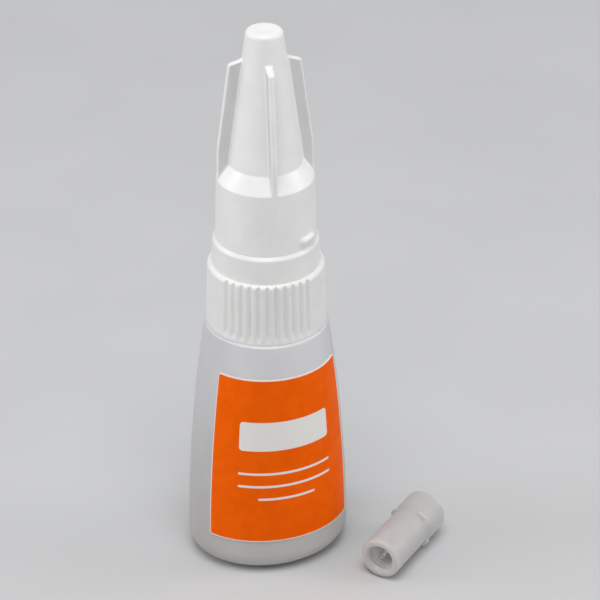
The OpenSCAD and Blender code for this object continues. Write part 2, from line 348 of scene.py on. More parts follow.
def refined(outline, step, low, high):
    """The outline with more points wherever it lies between two levels."""
    points = [outline[0]]
    for here, there in zip(outline, outline[1:]):
        inside = low - SLACK <= min(here.y, there.y) and max(here.y, there.y) <= high + SLACK
        parts = max(1, math.ceil((there - here).length / step)) if inside else 1
        points += [here.lerp(there, k / parts) for k in range(1, parts + 1)]
    return points


def level_of(edge, z):
    """Radius of an outline, listed upwards, at a level; zero outside it."""
    for here, there in zip(edge, edge[1:]):
        if here.y <= z <= there.y:
            share = (z - here.y) / max(there.y - here.y, MICRON * MM)
            return here.x + (there.x - here.x) * share
    return 0


def thread(z, angle, low, high, lead):
    """Height, from 0 to 1, of a right-hand thread between two levels."""
    phase = (z - low) / lead - angle / TURN
    off_crest = abs(phase - round(phase))
    run_in = lead / 3
    ends = smooth(low, low + run_in, z) * (1 - smooth(high - run_in, high, z))
    return ends * (1 - smooth(THREAD_CREST_SHARE, THREAD_FLANK_SHARE, off_crest))


def from_opposite(angle):
    """Signed angle from the nearer of two opposite places, at 0 and at half a turn."""
    return (angle + math.pi / 2) % math.pi - math.pi / 2


def even_angles(count):
    """Angles of a full turn in equal steps."""
    return [TURN * i / count for i in range(count)]


def by_angle(radius):
    """A function of the angle, from a number or from such a function."""
    return radius if callable(radius) else lambda angle: radius


def polar(angle, radius, z):
    """Point at an angle and a radius about the axis."""
    return Vector((radius * math.cos(angle), radius * math.sin(angle), z))


def ring(angles, z, radius):
    """Level ring of points; radius is a number or a function of the angle."""
    reach = by_angle(radius)
    return [polar(a, reach(a), z) for a in angles]


def skin(name, rings, poles=None):
    """Closed mesh over rings of equal counts: a loop of rings, or capped by two pole points."""
    n = len(rings[0])
    vertices = [p for r in rings for p in r]
    pairs = list(range(len(rings) - 1))
    faces = []
    if poles is None:
        pairs.append(len(rings) - 1)
    for k in pairs:
        low, up = k * n, (k + 1) % len(rings) * n
        faces += [(low + i, low + (i + 1) % n, up + (i + 1) % n, up + i) for i in range(n)]
    if poles is not None:
        first, last = len(vertices), len(vertices) + 1
        top = (len(rings) - 1) * n
        vertices += [Vector(p) for p in poles]
        faces += [((i + 1) % n, i, first) for i in range(n)]
        faces += [(top + i, top + (i + 1) % n, last) for i in range(n)]
    return mesh_object(name, vertices, faces)


def mesh_object(name, vertices, faces):
    """Object with outward normals, smooth shading and sharp edges past an angle."""
    mesh = bpy.data.meshes.new(name)
    mesh.from_pydata(vertices, [], faces)
    work = bmesh.new()
    work.from_mesh(mesh)
    bmesh.ops.recalc_face_normals(work, faces=work.faces)
    work.to_mesh(mesh)
    work.free()
    mesh.shade_smooth()
    mesh.set_sharp_from_angle(angle=SHARP_EDGE)
    piece = bpy.data.objects.new(name, mesh)
    bpy.context.scene.collection.objects.link(piece)
    return piece


def dress(piece, body, node, slot, *materials):
    """Puts a piece in the place of a CAD node, on its body and with its materials."""
    for material in materials:
        piece.data.materials.append(material)
    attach(piece, body)
    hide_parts(node)


class Surface:
    """A node material: fixed shader values, and textures that are laid over them."""

    SCATTER_COLOUR = (1, 0.97, 0.94)

    def __init__(self, name, **values):
        self.material = bpy.data.materials.new(name)
        self.material.use_nodes = True
        self.tree = self.material.node_tree
        self.shader = self.tree.nodes["Principled BSDF"]
        for socket, value in values.items():
            self.shader.inputs[socket.replace("_", " ")].default_value = value
        self.shader.inputs["Subsurface Radius"].default_value = self.SCATTER_COLOUR
        self.place = self.node("ShaderNodeTexCoord").outputs["Object"]
        self.colour = None
        self.normal = None

    def node(self, kind, **settings):
        """A new node with its settings."""
        made = self.tree.nodes.new(kind)
        for name, value in settings.items():
            setattr(made, name, value)
        return made

    def wire(self, value, socket):
        """Links a socket, or sets a plain value."""
        if isinstance(value, bpy.types.NodeSocket):
            self.tree.links.new(value, socket)
        else:
            socket.default_value = value

    def paint(self, colour):
        """Links the shader's colour, and keeps it for later layers."""
        self.colour = colour
        self.wire(colour, self.shader.inputs["Base Color"])

    def polish(self, pattern, low, high, smoothest, roughest):
        """Roughness between two values by a pattern."""
        roughness = self.ramp(pattern, low, high, smoothest, roughest)
        self.wire(roughness, self.shader.inputs["Roughness"])

    def relief(self, pattern, depth):
        """Adds a layer of bump of a real depth."""
        made = self.node("ShaderNodeBump")
        made.inputs["Distance"].default_value = depth
        self.wire(pattern, made.inputs["Height"])
        if self.normal:
            self.wire(self.normal, made.inputs["Normal"])
        self.normal = made.outputs["Normal"]
        self.wire(self.normal, self.shader.inputs["Normal"])

    def math(self, operation, *values):
        """Result of a Math node."""
        made = self.node("ShaderNodeMath", operation=operation)
        for value, socket in zip(values, made.inputs):
            self.wire(value, socket)
        return made.outputs[0]

    def noise(self, size, detail=2, stretch=(1, 1, 1)):
        """Noise with features of a real size, drawn out along the axes by stretch."""
        mapping = self.node("ShaderNodeMapping")
        mapping.inputs["Scale"].default_value = [1 / (size * s) for s in stretch]
        self.wire(self.place, mapping.inputs["Vector"])
        made = self.node("ShaderNodeTexNoise")
        made.inputs["Scale"].default_value = 1
        made.inputs["Detail"].default_value = detail
        self.wire(mapping.outputs["Vector"], made.inputs["Vector"])
        return made.outputs["Fac"]

    def ramp(self, value, low, high, to_low=0, to_high=1):
        """Goes from to_low at low to to_high at high with soft ends."""
        made = self.node("ShaderNodeMapRange", interpolation_type="SMOOTHSTEP")
        for given, socket in zip((value, low, high, to_low, to_high), made.inputs):
            self.wire(given, socket)
        return made.outputs["Result"]

    def mix(self, factor, first, second):
        """Colour between two colours."""
        made = self.node("ShaderNodeMix", data_type="RGBA")
        self.wire(factor, made.inputs["Factor"])
        colours = [s for s in made.inputs if s.type == "RGBA"]
        self.wire(first, colours[0])
        self.wire(second, colours[1])
        return next(s for s in made.outputs if s.type == "RGBA")

    def split(self, vector):
        """The X, Y and Z of a vector."""
        made = self.node("ShaderNodeSeparateXYZ")
        self.wire(vector, made.inputs[0])
        return made.outputs


def rgb(red, green, blue):
    """Opaque colour."""
    return (red, green, blue, 1)


def moulded(name, light, dark, roughness, **values):
    """Injection-moulded plastic: cloudy tone, satin grain, soft sink and faint flow lines."""
    plastic = Surface(name, **values)
    cloud = plastic.noise(size=3 * MM, detail=3)
    flow = plastic.noise(size=0.5 * MM, stretch=(1, 1, 14))
    flow_share = 0.2
    cloud_part = plastic.math("MULTIPLY", cloud, 1 - flow_share)
    tone = plastic.math("MULTIPLY_ADD", flow, flow_share, cloud_part)
    plastic.paint(plastic.mix(plastic.ramp(tone, low=0.35, high=0.65), dark, light))
    scuff = plastic.noise(size=0.25 * MM, detail=4, stretch=(3, 1, 1))
    plastic.polish(scuff, low=0.3, high=0.75, smoothest=roughness - 0.05, roughest=roughness + 0.08)
    plastic.relief(plastic.noise(size=2.5 * MM), depth=8 * MICRON)
    plastic.relief(plastic.noise(size=0.12 * MM, detail=3), depth=1.2 * MICRON)
    return plastic


def bottle_plastic():
    """Blown milky plastic, whiter towards the shoulder, with painted light on the broad faces: they are
    whiter than the narrow sides, to even out the shade that falls on them.
    """
    plastic = Surface("milky_bottle", IOR=1.5, Transmission_Weight=0.08,
                      Subsurface_Weight=0.4, Subsurface_Scale=0.8 * MM)
    place = plastic.split(plastic.place)
    cloud = plastic.noise(size=4 * MM, detail=3, stretch=(1, 1, 2.5))
    height = plastic.math("MULTIPLY_ADD", cloud, 6 * MM, place["Z"])
    level = plastic.ramp(height, low=3 * MM, high=BODY_H + 3 * MM)
    # Painted light: the broad faces get a whiter copy of the tone than the narrow sides.
    off_middle = plastic.math("MULTIPLY_ADD", cloud, 2 * MM, plastic.math("ABSOLUTE", place["Y"]))
    face = plastic.ramp(off_middle, low=BASE_B * 0.4, high=BASE_B)
    narrow = plastic.mix(level, rgb(0.475, 0.46, 0.45), rgb(0.63, 0.63, 0.655))
    broad = plastic.mix(level, rgb(0.57, 0.555, 0.54), rgb(0.78, 0.78, 0.805))
    plastic.paint(plastic.mix(face, narrow, broad))
    streak = plastic.noise(size=0.4 * MM, detail=3, stretch=(1, 1, 20))
    plastic.polish(streak, low=0.3, high=0.7, smoothest=0.34, roughest=0.46)
    plastic.relief(plastic.noise(size=3.5 * MM, stretch=(1, 1, 2)), depth=14 * MICRON)
    plastic.relief(plastic.noise(size=0.18 * MM, detail=3), depth=1.5 * MICRON)
    return plastic.material


def rounded_box(film, place, centre, half, corner):
    """Signed distance, in metres, from the edge of a box with round corners on the label."""
    sides = []
    for axis in (0, 1):
        off = film.math("ABSOLUTE", film.math("SUBTRACT", place[axis], centre[axis]))
        sides.append(film.math("SUBTRACT", off, half[axis] - corner))
    outer = [film.math("MAXIMUM", side, 0.0) for side in sides]
    squares = [film.math("MULTIPLY", side, side) for side in outer]
    away = film.math("SQRT", film.math("ADD", *squares))
    inner = film.math("MINIMUM", film.math("MAXIMUM", *sides), 0.0)
    return film.math("SUBTRACT", film.math("ADD", away, inner), corner)


def label_print(film, place, width):
    """1 inside a blank panel and three plain rules under it."""

    def shape(level, half, corner):
        edge = rounded_box(film, place, (width / 2, level), half, corner)
        return film.ramp(edge, -PRINT_BLUR, PRINT_BLUR, 1.0, 0.0)

    ink = shape(LABEL_H * PANEL_LEVEL_SHARE, PANEL_HALF_SIZE, PANEL_CORNER)
    for row, half_length in enumerate(RULE_HALF_LENGTHS):
        level = LABEL_H * RULE_LEVEL_SHARE - row * RULE_STEP
        ink = film.math("MAXIMUM", ink, shape(level, (half_length, RULE_HALF_H), RULE_CORNER))
    return ink


def label_film(width):
    """Printed orange film: mottled ink, a blank panel, plain rules and an unprinted margin."""
    film = Surface("label_print", IOR=1.3, Specular_IOR_Level=0.06)
    shares = film.split(film.node("ShaderNodeUVMap", uv_map="UVMap").outputs[0])
    place = (film.math("MULTIPLY", shares["X"], width), film.math("MULTIPLY", shares["Y"], LABEL_H))
    ink = label_print(film, place, width)
    middle = (width / 2, LABEL_H / 2)
    edge = rounded_box(film, place, middle, middle, LABEL_CORNER)
    margin = film.ramp(edge, -LABEL_MARGIN - PRINT_BLUR, -LABEL_MARGIN + PRINT_BLUR)
    mottle = film.ramp(film.noise(size=1.6 * MM, detail=4), low=0.3, high=0.7)
    orange = film.mix(mottle, rgb(0.91, 0.117, 0.001), rgb(0.97, 0.131, 0.002))
    printed = film.mix(ink, orange, rgb(0.84, 0.82, 0.79))
    film.paint(film.mix(margin, printed, rgb(0.84, 0.76, 0.70)))
    gloss = film.noise(size=0.5 * MM, detail=4)
    film.polish(gloss, low=0.3, high=0.7, smoothest=0.3, roughest=0.44)
    film.relief(film.noise(size=1.2 * MM), depth=4 * MICRON)
    film.relief(film.noise(size=0.15 * MM), depth=1 * MICRON)
    film.relief(ink, depth=3 * MICRON)
    return film.material


def frosted_plastic():
    """Translucent natural plastic, with painted light down the bore: its colour grows lighter deeper in,
    for the light that comes through the wall.
    """
    plastic = moulded("pin_cap_frost", rgb(0.51, 0.50, 0.495), rgb(0.485, 0.475, 0.47), 0.36,
                      Subsurface_Weight=1.0, Subsurface_Scale=2 * MM,
                      Sheen_Weight=0.2, Sheen_Roughness=0.3)
    depth = plastic.node("ShaderNodeAttribute", attribute_name="bore_painted_light").outputs["Fac"]
    # Painted light: the bore turns lighter with depth, for light that comes through the wall.
    plastic.paint(plastic.mix(depth, plastic.colour, rgb(0.95, 0.94, 0.93)))
    return plastic.material


def steel(name):
    """Drawn wire: bright metal with fine lines and small dull spots."""
    wire = Surface(name, Metallic=1.0)
    spots = wire.ramp(wire.noise(size=0.3 * MM, detail=3), low=0.4, high=0.7)
    wire.paint(wire.mix(spots, rgb(0.84, 0.84, 0.85), rgb(0.72, 0.71, 0.70)))
    gloss = wire.noise(size=0.08 * MM, detail=3)
    wire.polish(gloss, low=0.3, high=0.7, smoothest=0.12, roughest=0.26)
    wire.relief(wire.noise(size=0.05 * MM, stretch=(1, 1, 25)), depth=0.8 * MICRON)
    return wire.material


def glue_liquid():
    """Clear thin liquid with a faint haze."""
    liquid = Surface("clear_glue", IOR=1.44, Transmission_Weight=0.9)
    haze = liquid.ramp(liquid.noise(size=5 * MM), low=0.3, high=0.7)
    liquid.paint(liquid.mix(haze, rgb(0.90, 0.90, 0.88), rgb(0.95, 0.95, 0.94)))
    gloss = liquid.noise(size=3 * MM)
    liquid.polish(gloss, low=0.3, high=0.7, smoothest=0.02, roughest=0.06)
    return liquid.material


def half_axes(z, inset=0.0):
    """Half width and half depth of the oval body at a level, drawn in by inset."""
    share = (z / BODY_H) ** 2
    a = BASE_A - (BASE_A - SHOULDER_R) * share
    b = BASE_B - (BASE_B - SHOULDER_R) * share
    return a - inset, b - inset


def oval_ring(angles, z, inset=0.0, lift=0):
    """Level ring of the body; lift, a number or a function of the angle, adds to it."""
    a, b = half_axes(z, inset)
    extra = by_angle(lift)
    return [Vector(((a + extra(t)) * math.cos(t), (b + extra(t)) * math.sin(t), z)) for t in angles]


def inner_levels(distance, top):
    """(inset, z) of the space inside, at a distance from the outside and up to a level."""
    floor = PUSH_UP + distance
    corner = BASE_ROUND - BOTTLE_WALL
    return refined(rounded([
        (distance + corner * INNER_FLOOR_SHARE, floor, 0),
        (distance, floor, corner),
        (distance, top, 0)], steps=8), INNER_STEP, floor + corner, top)


def seam(angle):
    """Height of the mould's parting line, which runs up both narrow sides."""
    off = from_opposite(angle)
    return SEAM_H * max(0, 1 - (off / SEAM_HALF_ANGLE) ** 2)


def bottle_angles():
    """Even angles, with closer ones across the two parting lines."""
    angles = even_angles(BOTTLE_SIDES)
    for side in (0, math.pi):
        for k in range(1, SEAM_PARTS + 2):
            off = SEAM_HALF_ANGLE * k / SEAM_PARTS
            angles += [(side - off) % TURN, (side + off) % TURN]
    return sorted(angles)


def neck_radius(r, z):
    """Radius of the neck, with the thread on its outside."""
    if r < NECK_R - SLACK:
        return r
    low = BODY_H + NECK_THREAD_LOW
    high = NECK_Z - NECK_THREAD_END
    return lambda angle: r + THREAD_H * thread(z, angle, low, high, NECK_LEAD)


def make_bottle():
    """Oval body with a push-up foot, a shoulder and a threaded neck."""
    angles = bottle_angles()
    bore = NECK_R - NECK_WALL
    roof = BODY_H - BOTTLE_WALL
    foot = BASE_ROUND + FOOT_W
    inside = inner_levels(BOTTLE_WALL, roof)
    neck = refined(rounded([
        (SHOULDER_R - BOTTLE_WALL, roof, 0),
        (bore, roof, NECK_ROOT_ROUND),
        (bore, NECK_Z, LIP_IN_ROUND),
        (NECK_R, NECK_Z, LIP_ROUND),
        (NECK_R, BODY_H, NECK_ROOT_ROUND),
        (SHOULDER_R - SHOULDER_ROUND, BODY_H, 0)], steps=5), THREAD_STEP, BODY_H, NECK_Z)[1:]
    outside = refined(rounded([
        (SHOULDER_ROUND, BODY_H, 0),
        (0, BODY_H - SHOULDER_ROUND, SHOULDER_EDGE),
        (0, 0, BASE_ROUND),
        (foot, 0, FOOT_ROUND),
        (foot + PUSH_UP, PUSH_UP, PUSH_UP_ROUND),
        (foot + 3 * PUSH_UP, PUSH_UP, 0)], steps=10),
        BOTTLE_STEP, BASE_ROUND, BODY_H - SHOULDER_ROUND)[1:]
    rings = [oval_ring(angles, z, inset) for inset, z in inside]
    rings += [ring(angles, z, neck_radius(r, z)) for r, z in neck]
    rings += [oval_ring(angles, z, inset, seam) for inset, z in outside]
    poles = ((0, 0, PUSH_UP + BOTTLE_WALL), (0, 0, PUSH_UP))
    piece = skin("bottle_shell", rings, poles)
    dress(piece, "bottle", "bottle", "bottle_plastic", bottle_plastic())


def make_glue():
    """The liquid, with a meniscus that climbs the wall."""
    angles = even_angles(GLUE_SIDES)
    gap = BOTTLE_WALL + SKIN_GAP
    level = FILL_TOP.z - MENISCUS_H
    rings = [oval_ring(angles, z, inset) for inset, z in inner_levels(gap, FILL_TOP.z)]
    for k in range(1, MENISCUS_RINGS + 1):
        share = k / MENISCUS_RINGS
        rings.append(oval_ring(angles, level + MENISCUS_H * (1 - share) ** 2, gap + MENISCUS_W * share))
    poles = ((0, 0, PUSH_UP + gap), (0, 0, level))
    dress(skin("glue", rings, poles), "bottle", "adhesive_fill", "adhesive", glue_liquid())


def label_point(u, v, lift):
    """Point of the label at shares u across and v up, with round corners."""
    z = LABEL_LOW.z + LABEL_H * v
    edge = min(z - LABEL_LOW.z, LABEL_TOP.z - z)
    inset = 0
    if edge < LABEL_CORNER:
        inset = LABEL_CORNER - math.sqrt(LABEL_CORNER**2 - (LABEL_CORNER - edge) ** 2)
    a, b = half_axes(z)
    angle = FRONT + (2 * u - 1) * (LABEL_HALF_ARC - inset / a)
    return Vector(((a + lift) * math.cos(angle), (b + lift) * math.sin(angle), z))


def label_levels():
    """Shares of the label's height for its rows, closer at the round corners."""
    corner = LABEL_CORNER / LABEL_H
    quarter = math.pi / 2
    foot = [corner * (1 - math.cos(quarter * k / LABEL_CORNER_ROWS)) for k in range(LABEL_CORNER_ROWS)]
    middle = [corner + (1 - 2 * corner) * k / LABEL_ROWS for k in range(LABEL_ROWS + 1)]
    return foot + middle + [1 - share for share in reversed(foot)]


def make_label():
    """Thin film on the front of the body, with its shares of width and height as UVs."""
    levels = label_levels()
    across = LABEL_COLUMNS + 1
    vertices = []
    shares = []
    for lift in (SKIN_GAP + LABEL_T, LABEL_BACK):
        for v in levels:
            for i in range(across):
                vertices.append(label_point(i / LABEL_COLUMNS, v, lift))
                shares.append((i / LABEL_COLUMNS, v))
    back = len(levels) * across
    faces = []
    for k in range(len(levels) - 1):
        for i in range(LABEL_COLUMNS):
            low, up = k * across + i, (k + 1) * across + i
            faces.append((low, low + 1, up + 1, up))
            faces.append((back + low, back + up, back + up + 1, back + low + 1))
    rim = list(range(across))
    rim += [k * across + LABEL_COLUMNS for k in range(1, len(levels))]
    rim += [(len(levels) - 1) * across + i for i in range(LABEL_COLUMNS - 1, -1, -1)]
    rim += [k * across for k in range(len(levels) - 2, 0, -1)]
    for here, there in zip(rim, rim[1:] + rim[:1]):
        faces.append((there, here, back + here, back + there))
    piece = mesh_object("label", vertices, faces)
    layer = piece.data.uv_layers.new(name="UVMap")
    for loop in piece.data.loops:
        layer.data[loop.index].uv = shares[loop.vertex_index]
    row = len(levels) // 2 * across
    width = sum((vertices[row + i + 1] - vertices[row + i]).length for i in range(LABEL_COLUMNS))
    dress(piece, "bottle", "front_label", "label_film", label_film(width))


def make_nozzle():
    """Plug, flange and tapered spout with a small bore at the tip."""
    web_z = SEAT_Z - WEB_T
    flange_z = web_z - FLANGE_T
    plug_z = flange_z - PLUG_H
    plug_r = NECK_R - NECK_WALL - PLUG_GAP
    plug_bore_r = plug_r - NOZZLE_WALL
    profile = rounded([
        (ORIFICE_R, SPOUT_Z, ORIFICE_ROUND),
        (SPOUT_TIP_R, SPOUT_Z, SPOUT_ROUND),
        (SPOUT_R, web_z, FLANGE_ROUND),
        (NECK_R, web_z, FLANGE_ROUND),
        (NECK_R, flange_z, FLANGE_ROUND),
        (plug_r, flange_z, PLUG_ROOT_ROUND),
        (plug_r, plug_z, PLUG_ROUND),
        (plug_bore_r, plug_z, PLUG_ROUND),
        (plug_bore_r, flange_z, NOZZLE_IN_ROUND),
        (SPOUT_R - NOZZLE_WALL, web_z, NOZZLE_IN_ROUND),
        (ORIFICE_R, SPOUT_Z - ORIFICE_LEN, NOZZLE_IN_ROUND)], steps=4, closed=True)
    angles = even_angles(NOZZLE_SIDES)
    piece = skin("nozzle_spout", [ring(angles, z, r) for r, z in profile])
    plastic = moulded("nozzle_white", rgb(0.80, 0.81, 0.82), rgb(0.75, 0.76, 0.77), 0.35,
                      Subsurface_Weight=0.3, Subsurface_Scale=0.6 * MM)
    dress(piece, "bottle", "nozzle", "nozzle_plastic", plastic.material)


def groove(angle):
    """Depth, from 0 to 1, of the grooves between the ribs of the two groups."""
    off = from_opposite(angle - FRONT - RIB_TURN)
    nearest = min(RIBS / 2, max(-RIBS / 2, round(off / RIB_STEP + RIBS / 2) - RIBS / 2))
    away = abs(off - nearest * RIB_STEP) * GRIP_FOOT_R
    if away >= GROOVE_HALF:
        return 0
    return 0.5 + 0.5 * math.cos(math.pi * away / GROOVE_HALF)


def make_collar():
    """Ribbed grip, plain ring, web and threaded boss."""
    grip_z = COLLAR_Z + GRIP_H
    grip_r = GRIP_FOOT_R - GRIP_DRAFT
    web_z = SEAT_Z - WEB_T
    seat_r = SKIRT_R + SKIRT_DRAFT + LEDGE_MARGIN
    profile = rounded([
        (COLLAR_BORE_R, BODY_H, COLLAR_BORE_ROUND),
        (GRIP_FOOT_R, BODY_H, GRIP_FOOT_ROUND),
        (grip_r, grip_z, GRIP_ROUND - RING_ROOT_ROUND),
        (RING_R + RING_DRAFT, grip_z, RING_ROOT_ROUND),
        (RING_R, SEAT_Z - LEDGE_DROP, RING_ROUND),
        (seat_r, SEAT_Z + LEDGE_LIP, 0),
        (seat_r, SEAT_Z, 0),
        (BOSS_R, SEAT_Z, BOSS_ROOT_ROUND),
        (BOSS_R, BOSS_Z, BOSS_ROUND),
        (BOSS_BORE_R, BOSS_Z, BOSS_BORE_ROUND),
        (BOSS_BORE_R, web_z, WEB_ROUND),
        (COLLAR_BORE_R, web_z, WEB_ROOT_ROUND)], steps=8, closed=True)
    profile = refined(profile + profile[:1], COLLAR_STEP, BODY_H, grip_z)
    profile = refined(profile, THREAD_STEP, SEAT_Z, BOSS_Z)[:-1]

    def radius(r, z):
        if r > RING_R + RING_DRAFT and z < grip_z:
            wall = grip_r + GRIP_DRAFT * (grip_z - z) / GRIP_H
            foot = COLLAR_Z + RIM_H
            depth = GROOVE_DEPTH * math.sqrt(smooth(foot, foot + RIB_FOOT, z))
            return lambda angle: min(r, wall - depth * groove(angle))
        if BOSS_R - SLACK < r < SKIRT_R and SEAT_Z < z < BOSS_Z:
            low = SEAT_Z + BOSS_THREAD_LOW
            high = BOSS_Z - BOSS_THREAD_END
            return lambda angle: r + THREAD_H * thread(z, angle, low, high, CAP_LEAD)
        return r

    angles = even_angles(COLLAR_SIDES)
    piece = skin("collar", [ring(angles, z, radius(r, z)) for r, z in profile])
    plastic = moulded("collar_white", rgb(0.82, 0.82, 0.81), rgb(0.79, 0.79, 0.78), 0.36,
                      Sheen_Weight=0.2, Sheen_Roughness=0.3)
    dress(piece, "bottle", "ribbed_collar", "collar_plastic", plastic.material)


def fin_section(height):
    """Half outline of a fin's cross-section: (offset from its middle, height above the cone)."""
    full = max(height, FIN_FILLET + FIN_NOSE)
    fillet = FIN_FILLET * height / full
    flank = full - FIN_FILLET - FIN_NOSE
    points = []
    arc = [math.pi / 2 * k / FIN_ARC_PARTS for k in range(FIN_ARC_PARTS + 1)]
    for a in arc:
        points.append((FIN_HALF + fillet * (1 - math.sin(a)), FIN_FILLET * (1 - math.cos(a))))
    for k in range(1, FIN_FLANK_PARTS):
        points.append((FIN_HALF, FIN_FILLET + flank * k / FIN_FLANK_PARTS))
    for a in arc:
        points.append((FIN_HALF - FIN_NOSE * (1 - math.cos(a)), full - FIN_NOSE * (1 - math.sin(a))))
    points.append((0, full))
    return [(y, x * height / full) for y, x in points]


def cap_ring(z, radius, fin_radius):
    """Ring round the cap: at each fin its cross-section, and an arc up to the next fin."""
    reach = by_angle(radius)
    base = reach(0)
    half = fin_section(max(0, fin_radius - base))
    outline = [(-y, x) for y, x in half] + list(reversed(half[:-1]))
    foot = half[0][0]
    bend_r = max(base, 2 * foot)
    edge = math.asin(foot / bend_r)
    gap = TURN / FINS - 2 * edge
    points = []
    for i in range(FINS):
        turn = FRONT + CAP_TURN + TURN * i / FINS
        for y, x in outline:
            angle = turn + math.asin(y / bend_r)
            points.append(polar(angle, reach(angle), z) + polar(turn, x, 0))
        for k in range(1, FIN_GAP_PARTS):
            angle = turn + edge + gap * k / FIN_GAP_PARTS
            points.append(polar(angle, reach(angle), z))
    return points


def paint_fins(piece, wall, low, high):
    """Gives the flanks of the fins the second material, a painted shade of grey; their edges and tops
    keep the first.
    """
    step = TURN / FINS
    for face in piece.data.polygons:
        x, y, z = face.center
        on_fin = low < z < high and math.hypot(x, y) > wall(z) + FIN_FILLET
        turn = step * round((math.atan2(y, x) - FRONT - CAP_TURN) / step) + FRONT + CAP_TURN
        sideways = face.normal.y * math.cos(turn) - face.normal.x * math.sin(turn)
        face.material_index = int(on_fin and abs(sideways) > FIN_FLANK_NORMAL)


def lug(angle, z):
    """Height, from 0 to 1, of the two stop lugs low on the skirt."""
    off = from_opposite(angle - FRONT - CAP_TURN - math.pi / FINS)
    along = 1 - smooth(LUG_HALF_ARC - LUG_SOFT_ARC, LUG_HALF_ARC + LUG_SOFT_ARC, abs(off))
    low = SEAT_Z + LUG_LIFT
    peak = low + LUG_H * LUG_PEAK_SHARE
    up = smooth(low, peak, z) * (1 - smooth(peak, low + LUG_H, z))
    return along * up


def make_overcap():
    """Threaded skirt, flare, cone with fins and rounded crown."""
    skirt_z = SEAT_Z + SKIRT_H
    flare_z = skirt_z + FLARE_H
    slope = (CONE_R - TIP_R) / (TIP_Z - flare_z)
    flare_tilt = math.atan((SKIRT_R - CONE_R) / FLARE_H)
    sink = CAP_WALL * math.tan(flare_tilt / 2)
    bore_z = skirt_z - sink
    lug_z = SEAT_Z + LUG_LIFT
    dimple_z = TIP_Z - DIMPLE_DEPTH

    def cone(z):
        return TIP_R + (TIP_Z - z) * slope

    def wall(z):
        return cone(z) if z > flare_z else SKIRT_R + (CONE_R - SKIRT_R) * (z - skirt_z) / FLARE_H

    foot_z = flare_z + FIN_FOOT_H
    top_z = TIP_Z - FIN_DROP
    fin_top = top_z + FIN_REACH * math.tan(FIN_SLOPE) / (1 - math.tan(FIN_SLOPE) * slope)
    fine_z = top_z - 2 * FIN_ROUND
    blend_z = fin_top + 2 * FIN_ROUND
    fin_edge = rounded([
        (SKIRT_R, skirt_z, 0),
        (cone(foot_z) + FIN_REACH, foot_z, FIN_FOOT_ROUND),
        (cone(top_z) + FIN_REACH, top_z, FIN_ROUND),
        (cone(fin_top), fin_top, FIN_ROUND),
        (cone(blend_z), blend_z, 0)], steps=6)

    inside = rounded([
        (CROWN_IN_R, CROWN_Z, 0),
        (cone(CROWN_Z) - CAP_WALL, CROWN_Z, CROWN_IN_ROUND),
        (CONE_R - CAP_WALL, flare_z - sink, CAP_IN_ROUND),
        (SKIRT_BORE_R, bore_z, CAP_IN_ROUND),
        (SKIRT_BORE_R, SEAT_Z, SKIRT_IN_ROUND),
        (SKIRT_R + SKIRT_DRAFT, SEAT_Z, 0)], steps=5)[:-1]
    outside = rounded([
        (SKIRT_BORE_R, SEAT_Z, 0),
        (SKIRT_R + SKIRT_DRAFT, SEAT_Z, 0),
        (SKIRT_R, skirt_z, FLARE_ROUND),
        (CONE_R, flare_z, FLARE_ROUND),
        (cone(fine_z), fine_z, 0),
        (cone(blend_z), blend_z, 0),
        (TIP_R, TIP_Z, TIP_ROUND),
        (DIMPLE_R, TIP_Z, DIMPLE_ROUND),
        (DIMPLE_FLOOR_R, dimple_z, DIMPLE_ROUND),
        (DIMPLE_MIDDLE_R, dimple_z, 0)], steps=7)[1:]
    inside = refined(inside, THREAD_STEP, SEAT_Z, bore_z)
    outside = refined(outside, LUG_STEP, SEAT_Z, lug_z + LUG_H + LUG_MARGIN)
    outside = refined(outside, CAP_STEP, SEAT_Z, TIP_Z)
    outside = refined(outside, FIN_TOP_STEP, fine_z, blend_z)

    def inner_radius(r, z):
        if r < SKIRT_BORE_R - SLACK or z > bore_z:
            return r
        low = SEAT_Z + BOSS_THREAD_LOW + CAP_LEAD / 2
        high = skirt_z - CAP_THREAD_END
        return lambda angle: r - THREAD_H * thread(z, angle, low, high, CAP_LEAD)

    def outer_radius(r, z):
        if z > lug_z + LUG_H or z < lug_z:
            return r
        return lambda angle: r + LUG_REACH * lug(angle, z)

    rings = [cap_ring(z, inner_radius(r, z), 0) for r, z in inside]
    rings += [cap_ring(z, outer_radius(r, z), level_of(fin_edge, z)) for r, z in outside]
    piece = skin("screw_cap", rings, ((0, 0, CROWN_Z), (0, 0, dimple_z)))
    plastic = moulded("cap_white", rgb(0.86, 0.86, 0.855), rgb(0.83, 0.83, 0.825), 0.34,
                      Sheen_Weight=0.2, Sheen_Roughness=0.3)
    # Painted shade: the fin flanks get a darker grey copy of the cap's plastic, standing in for the thin
    # fins that let light through.
    thin = moulded("cap_fin_painted_shade", rgb(0.68, 0.68, 0.68), rgb(0.65, 0.65, 0.65), 0.38)
    dress(piece, "overcap", "overcap", "cap_plastic", plastic.material, thin.material)
    paint_fins(piece, wall, skirt_z, fin_top)


def nub(angle, off):
    """Height, from 0 to 1, of the nubs round the pin cap, at an offset from their middle."""
    step = TURN / NUBS
    away = abs((angle - NUB_TURN + step / 2) % step - step / 2)
    arc_full, arc_end = NUB_ARC_SHARES
    h_full, h_end = NUB_H_SHARES
    along = 1 - smooth(arc_full * NUB_HALF_ARC, arc_end * NUB_HALF_ARC, away)
    return along * (1 - smooth(h_full * NUB_H, h_end * NUB_H, abs(off)))


def mark_bore_depth(piece, bore_end):
    """Stores, for each point, how far down the bore it is: 0 at the mouth and outside, 1 deep inside;
    the bore's painted light follows it.
    """
    depth = piece.data.attributes.new("bore_painted_light", "FLOAT", "POINT")
    for point, stored in zip(piece.data.vertices, depth.data):
        x, y, z = point.co
        in_bore = math.hypot(x, y) < PIN_CAP_BORE_R + 2 * BORE_RING_H and z < bore_end + BORE_RING_H
        stored.value = smooth(MOUTH_H, BORE_LIGHT_DEPTH, z) if in_bore else 0


